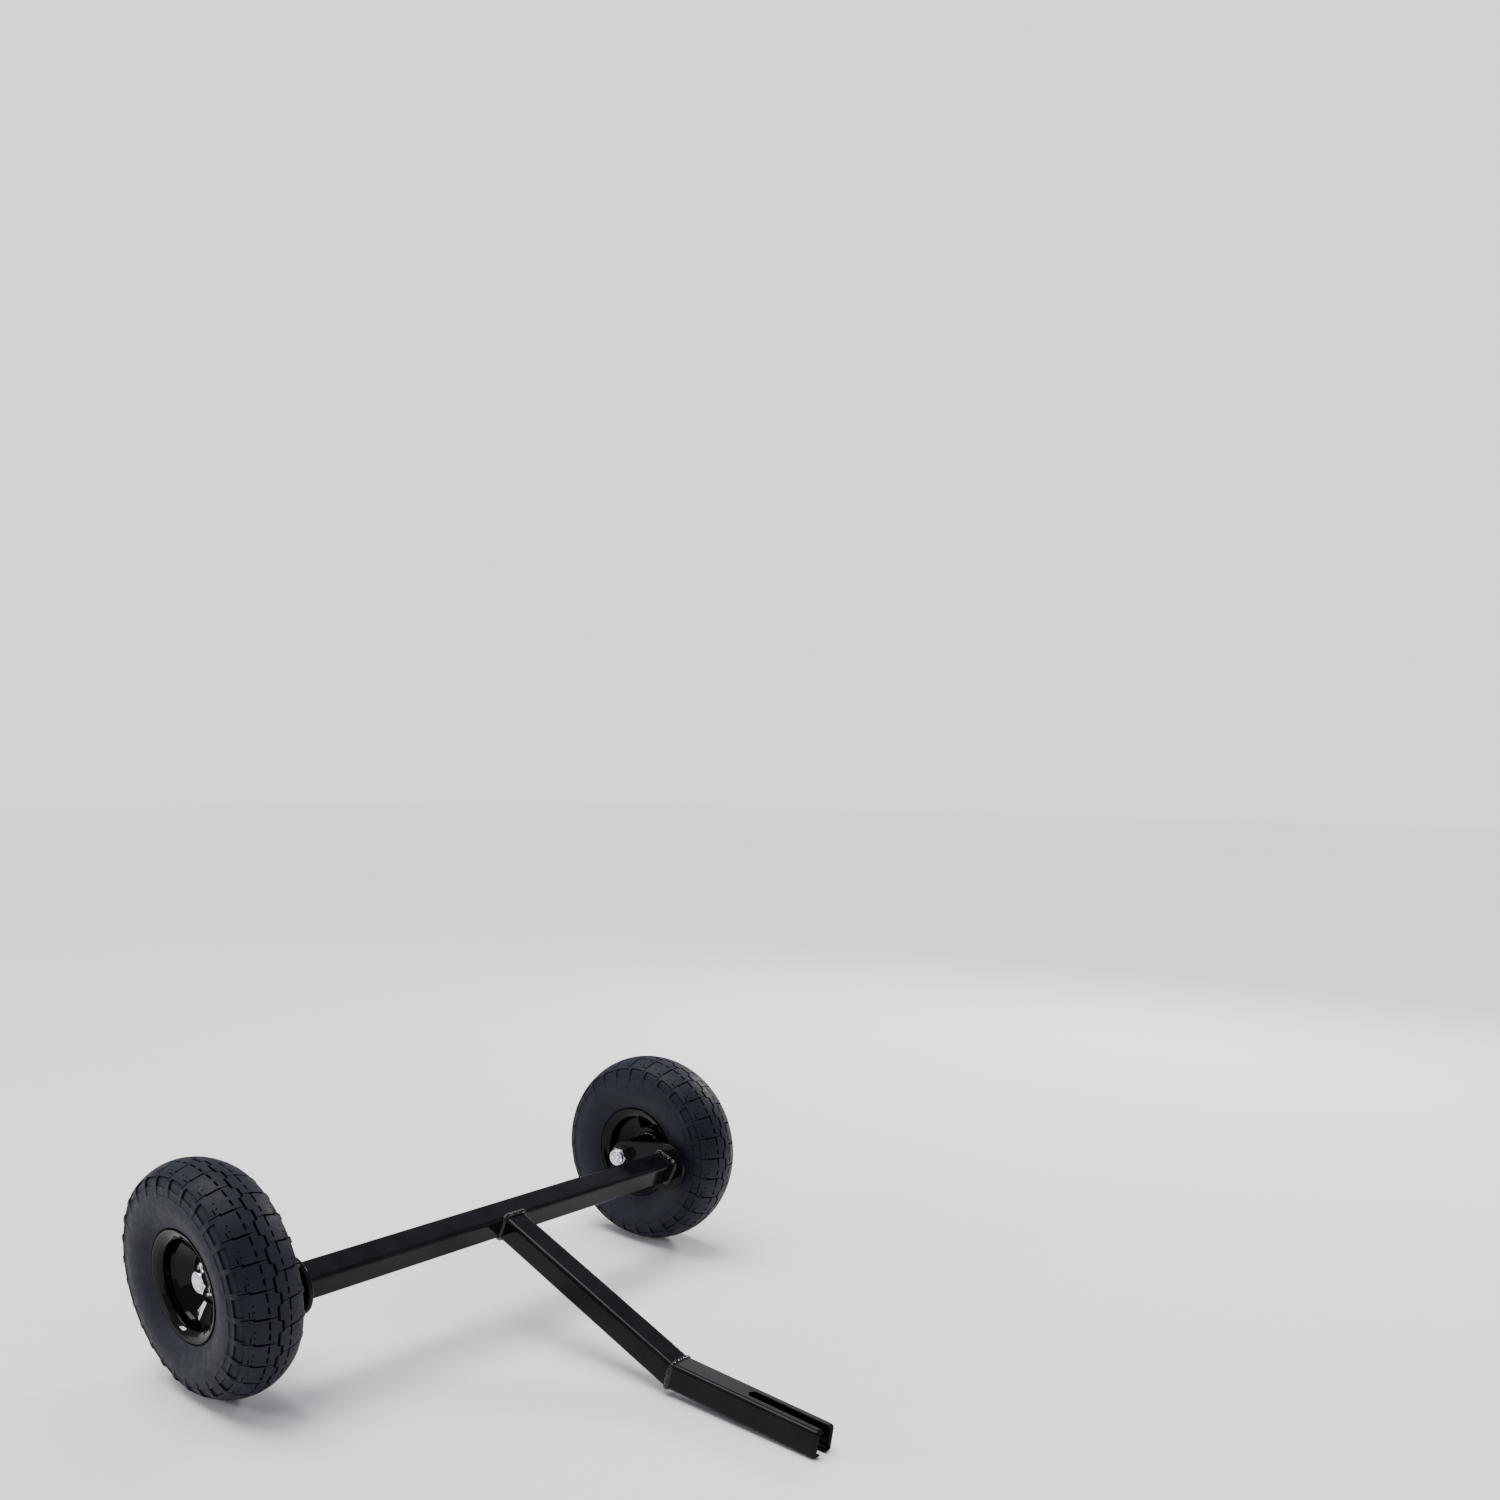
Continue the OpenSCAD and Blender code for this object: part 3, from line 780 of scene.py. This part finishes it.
FLANGE_T = 0.0016
ring_low, ring_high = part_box("right_outboard_outer_ring")
ring_depth = ring_high.x - ring_low.x
flange_r = (ring_high.z - ring_low.z) / 2
OUTER_RING_BORE_R = 0.01409
BALL_GROOVE_R = 0.0157
outer_ring = lathe("outer_ring", [(0, OUTER_RING_BORE_R, 0.0003), (0, flange_r, 0.0003),
    (-FLANGE_T, flange_r, 0.0002), (-FLANGE_T, BEARING_R, 0), (-ring_depth, BEARING_R, 0.0005),
    (-ring_depth, OUTER_RING_BORE_R, 0.0002), (-ring_depth / 2 - 0.0022, OUTER_RING_BORE_R, 0),
    (-ring_depth / 2, BALL_GROOVE_R, 0.0012), (-ring_depth / 2 + 0.0022, OUTER_RING_BORE_R, 0)])
smooth(outer_ring)
inboard_low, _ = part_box("right_inboard_outer_ring")
for end, place in (("outboard", ring_high.x), ("inboard", inboard_low.x)):
    ring_piece = twin(outer_ring, "ring") if end == "outboard" else mirrored(outer_ring, "ring")
    settle(ring_piece, Matrix.Translation((place, wheel_centre.y, wheel_centre.z)))
    left_ring = mirrored(ring_piece, "left_ring")
    fit(ring_piece, f"right_{end}_outer_ring")
    fit(left_ring, f"left_{end}_outer_ring")
bpy.data.objects.remove(outer_ring)

# %% [markdown]
# The axle bolt and the lock nut are hexagons turned off to a cone at their corners. A six-sided prism and a
# turned lens are intersected, which leaves the curved chamfers that a real hexagon has. Bevelling the prism alone
# would cut straight chamfers. The bolt's end has a lathe centre, and the nut's collar holds the nylon ring.

# %% Bolts and nuts
HEX_FLATS = 0.0238
HEX_CORNER_R = HEX_FLATS / 2 / math.cos(math.pi / 6)
HEX_FACE_R = HEX_FLATS / 2 - 0.0006
HEX_CHAMFER = 0.0014
NUT_HEX = 0.0122
NUT_COLLAR = 0.0038
NUT_COLLAR_R = 0.0113
bolt_low, bolt_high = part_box("right_axle_bolt")
nut_low, nut_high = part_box("right_lock_nut")
head_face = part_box("right_outboard_inner_ring")[1].x - wheel_centre.x
bolt_end = bolt_low.x - wheel_centre.x
head_top = bolt_high.x - wheel_centre.x
nut_face = nut_high.x - wheel_centre.x
nut_end = nut_low.x - wheel_centre.x


def hexagon(x0, x1, chamfer_low, chamfer_high):
    """A hexagonal prism from x0 to x1 with turned corners at the ends that are chamfered."""
    prism = disc(HEX_CORNER_R, x1 - x0, ((x0 + x1) / 2, 0, 0), 6)
    wide = HEX_FLATS / 2 + 0.0019
    low_r = HEX_FACE_R if chamfer_low else wide + 0.001
    high_r = HEX_FACE_R if chamfer_high else wide + 0.001
    lens = lathe("lens", [(x0, 0, 0), (x0, low_r, 0), (x0 + HEX_CHAMFER, wide, 0), (x1 - HEX_CHAMFER, wide, 0),
        (x1, high_r, 0), (x1, 0, 0)], closed=False)
    cut(prism, lens, "INTERSECT")
    return prism


head = hexagon(head_face, head_top, False, True)
pick_faces(head, lambda centre, normal: normal.x > 0.99 and centre.x > head_top - 1e-5)
bpy.ops.mesh.inset(thickness=0.0012)
bpy.ops.mesh.inset(thickness=0.0006, depth=-0.0003)
done()
shank = lathe("shank", [(head_face + 0.001, 0, 0), (head_face + 0.001, BOLT_R, 0), (bolt_end + 0.0012, BOLT_R, 0),
    (bolt_end, BOLT_R - 0.0012, 0), (bolt_end, 0.0017, 0), (bolt_end + 0.0012, 0, 0)], closed=False, segments=64)
cut(head, shank, "UNION")
ease_edges(head, 0.00025, 2, 25)
settle(head, to_right_wheel)
smooth(head)
left_bolt = mirrored(head, "left_bolt")
fit(head, "right_axle_bolt")
fit(left_bolt, "left_axle_bolt")

nut_shoulder = nut_face - NUT_HEX
nut = hexagon(nut_shoulder, nut_face, True, True)
collar = lathe("collar", [(nut_face - NUT_HEX / 2, 0, 0), (nut_face - NUT_HEX / 2, NUT_COLLAR_R, 0),
    (nut_end, NUT_COLLAR_R, 0.0016), (nut_end, BOLT_R, 0.0004), (nut_end + 0.0006, 0, 0)], closed=False)
cut(nut, collar, "UNION")
cut(nut, disc(BOLT_R + 0.00003, 0.05, (nut_face - NUT_HEX / 2, 0, 0), 64))
insert_low, insert_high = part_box("right_nut_insert")
insert_r = (insert_high.z - insert_low.z) / 2
insert_middle = (insert_low.x + insert_high.x) / 2 - wheel_centre.x
cut(nut, disc(insert_r, insert_high.x - insert_low.x, (insert_middle, 0, 0), 64))
ease_edges(nut, 0.00025, 2, 25)
settle(nut, to_right_wheel)
smooth(nut)
left_nut = mirrored(nut, "left_nut")
fit(nut, "right_lock_nut")
fit(left_nut, "left_lock_nut")

# %% [markdown]
# The tyre is moulded rubber with 28 repeats of one tread pitch. Only one pitch is modelled: a flat grid whose
# lines lie on the edges of the blocks. Its groove faces are inset for a small chamfer and extruded down. The
# strip is then wrapped on the tyre's section and arrayed round the axle. Cutting the grooves out of a
# finished tyre with Booleans would work too, but more than five hundred cuts would take long and leave slivers.

# %% The tyre's section
TYRE_R = 0.130
TYRE_WIDTH = 0.086
TREAD_WIDTH = 0.076
CROWN_R = 0.059
BELLY_DROP = 0.023
PITCHES = 28
PITCH_LENGTH = 2 * math.pi * TYRE_R / PITCHES


def bezier(a, b, c, steps):
    return [a * (1 - t) ** 2 + b * 2 * t * (1 - t) + c * t * t for t in (step / steps for step in range(steps + 1))]


crown_sweep = math.asin(TREAD_WIDTH / 2 / CROWN_R)
crown_arc = [Vector((CROWN_R * math.sin(crown_sweep * step / 40),
    TYRE_R - CROWN_R + CROWN_R * math.cos(crown_sweep * step / 40))) for step in range(41)]
shoulder = crown_arc[-1]
belly = Vector((TYRE_WIDTH / 2, shoulder.y - BELLY_DROP))
foot = Vector((LIP_SPAN / 2, LIP_R + 0.0024))
upper_wall = bezier(shoulder, Vector((TYRE_WIDTH / 2 + 0.0002, shoulder.y - 0.012)), belly, 30)
lower_wall = bezier(belly, Vector((TYRE_WIDTH / 2 - 0.0004, belly.y - 0.014)), foot, 30)
inner_foot = [Vector(point) for point in ((0.0330, LIP_R + 0.0010), (0.0308, LIP_R), (0.0292, LIP_R - 0.0046),
    (0.0276, BEAD_SEAT_R + 0.0040), (0.0250, BEAD_SEAT_R + 0.0006), (0.0, BEAD_SEAT_R + 0.0006))]
half_section = crown_arc + upper_wall[1:] + lower_wall[1:] + inner_foot
travel = [0.0]
for before, after in zip(half_section, half_section[1:]):
    travel.append(travel[-1] + (after - before).length)
half_travel = travel[-1]


def section_at(distance):
    """Place and outward direction at a distance along the section from the crown, as (x, radius) pairs."""
    side = -1 if distance < 0 else 1
    distance = min(abs(distance), half_travel)
    number = next(n for n in range(1, len(travel)) if distance <= travel[n] + 1e-12)
    share = (distance - travel[number - 1]) / (travel[number] - travel[number - 1])
    place = half_section[number - 1].lerp(half_section[number], share)
    if number <= 40:
        outward = (place - Vector((0, TYRE_R - CROWN_R))).normalized()
    else:
        along = half_section[min(number + 1, len(travel) - 1)] - half_section[max(number - 2, 0)]
        outward = Vector((-along.y, along.x)).normalized()
    return Vector((place.x * side, place.y)), Vector((outward.x * side, outward.y))


def travel_at_radius(radius):
    """Distance along the section where the outer sidewall has this radius."""
    number = next(n for n in range(41, len(travel)) if half_section[n].y <= radius)
    return travel[number]


print("the section is", round(2 * half_travel * 1000), "mm round")

# %% [markdown]
# The grid's lines. Across the tyre they are the edges of the grooves, given by their distance from the middle,
# and down the sidewall by their radius. Round the tyre they are shares of one pitch. Each half of the tread has
# the same pattern, half a pitch apart, so the list for the second half pitch repeats the first.

# %% The grid of one tread pitch
MIDDLE_GROOVE = 0.0017
SLOT_IN, SLOT_OUT = 0.0114, 0.0140
HOOK_IN, HOOK_OUT = 0.0260, 0.0280
NICK_IN, NICK_OUT = 0.0298, 0.0312
POCKET_IN = 0.0346
POCKET_OUT_R = 0.1090
PANEL_RADII = ((0.1083, 0.1049), (0.1045, 0.1005))
STEP_RADII = (0.1079, 0.1045)
tread_lines = [MIDDLE_GROOVE, 0.0060, SLOT_IN, SLOT_OUT, 0.0175, 0.0220, HOOK_IN, HOOK_OUT, NICK_IN, NICK_OUT,
    0.0330, POCKET_IN, 0.0364, 0.0380]
wall_radii = [0.1130, POCKET_OUT_R, 0.1083, 0.1079, 0.1049, 0.1045, 0.1005, 0.0932, 0.0860, 0.0790, 0.0720, 0.0680]
half_lines = [CROWN_R * math.asin(x / CROWN_R) for x in tread_lines]
half_lines += [travel_at_radius(radius) for radius in wall_radii]
half_lines += travel[-len(inner_foot) - 1:]
columns = [-line for line in reversed(half_lines)] + half_lines
half_rows = [0, 0.015, 0.055, 0.08, 0.11, 0.14, 0.20, 0.28, 0.32, 0.385, 0.42, 0.45]
rows = half_rows + [0.5 + row for row in half_rows] + [1.0]

bpy.ops.object.select_all(action="DESELECT")
bpy.ops.mesh.primitive_grid_add(x_subdivisions=len(columns) - 1, y_subdivisions=len(rows) - 1, size=2)
tread = bpy.context.object
for vertex in tread.data.vertices:
    column = round((vertex.co.x + 1) / 2 * (len(columns) - 1))
    row = round((vertex.co.y + 1) / 2 * (len(rows) - 1))
    vertex.co = (columns[column], rows[row] * PITCH_LENGTH, 0)
print("one pitch has", len(tread.data.polygons), "faces")

# %% [markdown]
# Which faces are grooves? On each half there is a cross groove, thick outside and thin inside, a row of slots
# along the tread and two pits, and a zigzag groove runs down the middle. Shallow pockets between the shoulder
# lugs make the scalloped edge of the tyre's outline, and two rows of very shallow panels run round the sidewall.

# %% Groove faces
BLOCK_EDGE = 0.0379
LUG_START, LUG_END = 0.14, 0.92


def across_share(centre):
    """Distance from the middle along the crown, and the share of a pitch, on the pattern's own half."""
    share = centre.y / PITCH_LENGTH
    if centre.x < 0:
        share = (share + 0.5) % 1
    return CROWN_R * math.sin(min(abs(centre.x) / CROWN_R, crown_sweep)), share


def is_groove(centre, normal):
    x, share = across_share(centre)
    if x >= BLOCK_EDGE:
        return False
    middle_groove = x < MIDDLE_GROOVE
    thick_cross = SLOT_IN < x < HOOK_OUT and share < 0.08
    thin_cross = x < SLOT_IN and 0.015 < share < 0.055
    hook = HOOK_IN < x < HOOK_OUT and share < 0.14
    shoulder_cross = NICK_IN < x and 0.055 < share < 0.11
    slot = SLOT_IN < x < SLOT_OUT and (0.20 < share < 0.45 or 0.60 < share < 0.95)
    return middle_groove or thick_cross or thin_cross or hook or shoulder_cross or slot


def is_pit(centre, normal):
    x, share = across_share(centre)
    pit = HOOK_IN < x < HOOK_OUT and (0.32 < share < 0.385 or 0.55 < share < 0.60)
    nick = NICK_IN < x < NICK_OUT and 0.14 < share < 0.385
    return pit or nick


pocket_start = CROWN_R * math.asin(POCKET_IN / CROWN_R)
pocket_end = travel_at_radius(POCKET_OUT_R)


def is_pocket(centre, normal):
    share = across_share(centre)[1]
    return pocket_start < abs(centre.x) < pocket_end and LUG_START < share < LUG_END


panel_spans = [(travel_at_radius(high), travel_at_radius(low)) for high, low in PANEL_RADII]


def is_wall_panel(centre, normal):
    share = across_share(centre)[1]
    return LUG_START < share < LUG_END and any(start < abs(centre.x) < end for start, end in panel_spans)


def sink(test, depth, chamfer):
    """Insets the faces for a chamfered rim and pushes them down."""
    pick_faces(tread, test)
    bpy.ops.mesh.inset(thickness=chamfer, depth=-chamfer, use_boundary=False)
    bpy.ops.mesh.extrude_region_move(TRANSFORM_OT_translate={"value": (0, 0, chamfer - depth)})
    done()
    cut_ends = pick_faces(tread, lambda centre, normal: abs(normal.y) > 0.9
        and min(abs(centre.y), abs(centre.y - PITCH_LENGTH)) < 1e-6)
    if cut_ends:
        bpy.ops.mesh.delete(type="ONLY_FACE")
    done()


sink(is_groove, 0.0040, 0.0002)
sink(is_pit, 0.0036, 0.0002)
sink(is_pocket, 0.0022, 0.0004)
sink(is_wall_panel, 0.0006, 0.0003)
print("one pitch with its grooves has", len(tread.data.polygons), "faces")

# %% [markdown]
# Wrapping. Each point of the flat strip has a place along the section, a share of the pitch and a depth. A short
# function sets it on the tyre. A curve modifier could bend the strip round the axle, but not round the
# section as well. On the way the middle groove is pulled into its zigzag, two small steps are let into the
# sidewall, and each point's depth is written to the attribute sunk.

# %% Wrap the strip on the tyre
ZIGZAG = 0.0023
ZIGZAG_FULL = 0.0035
SUNK_START, SUNK_END = 0.0024, 0.0034
STEP_HEIGHT = 0.0005


def ramp(value, start, end):
    return min(max((value - start) / (end - start), 0), 1)


def zigzag(share):
    share %= 1
    return ZIGZAG * (1 - 2 * ramp(share, 0.385, 0.45) + 2 * ramp(share, 0.82, 0.885))


sunk = tread.data.attributes.new("sunk", "FLOAT", "POINT")
for vertex, value in zip(tread.data.vertices, sunk.data):
    value.value = ramp(-vertex.co.z, SUNK_START, SUNK_END)
for vertex in tread.data.vertices:
    distance, share, height = vertex.co.x, vertex.co.y / PITCH_LENGTH, vertex.co.z
    fade = 1 - ramp(abs(distance), ZIGZAG_FULL, SLOT_IN)
    place, outward = section_at(distance + zigzag(share) * fade)
    steps_passed = sum(1 for radius in STEP_RADII if place.y < radius + 1e-5 and abs(place.x) > 0.038)
    lowered = place + outward * (height - STEP_HEIGHT * steps_passed * ramp(place.y, 0.080, 0.100))
    angle = 2 * math.pi * share / PITCHES
    vertex.co = (lowered.x, -lowered.y * math.cos(angle), lowered.y * math.sin(angle))

turner = bpy.data.objects.new("turner", None)
bpy.context.scene.collection.objects.link(turner)
turner.matrix_world = Matrix.Rotation(-2 * math.pi / PITCHES, 4, "X")
bpy.context.view_layer.update()
modify(tread, "ARRAY", count=PITCHES, use_relative_offset=False, use_object_offset=True, offset_object=turner,
    use_merge_vertices=True, use_merge_vertices_cap=True, merge_threshold=0.00002)
bpy.data.objects.remove(turner)
tidy_mesh(tread, 0.00002)
settle(tread, to_right_wheel)
smooth(tread, math.radians(38), keep_flats=False)
left_tread = mirrored(tread, "left_tread")
fit(tread, "right_tyre")
fit(left_tread, "left_tyre")
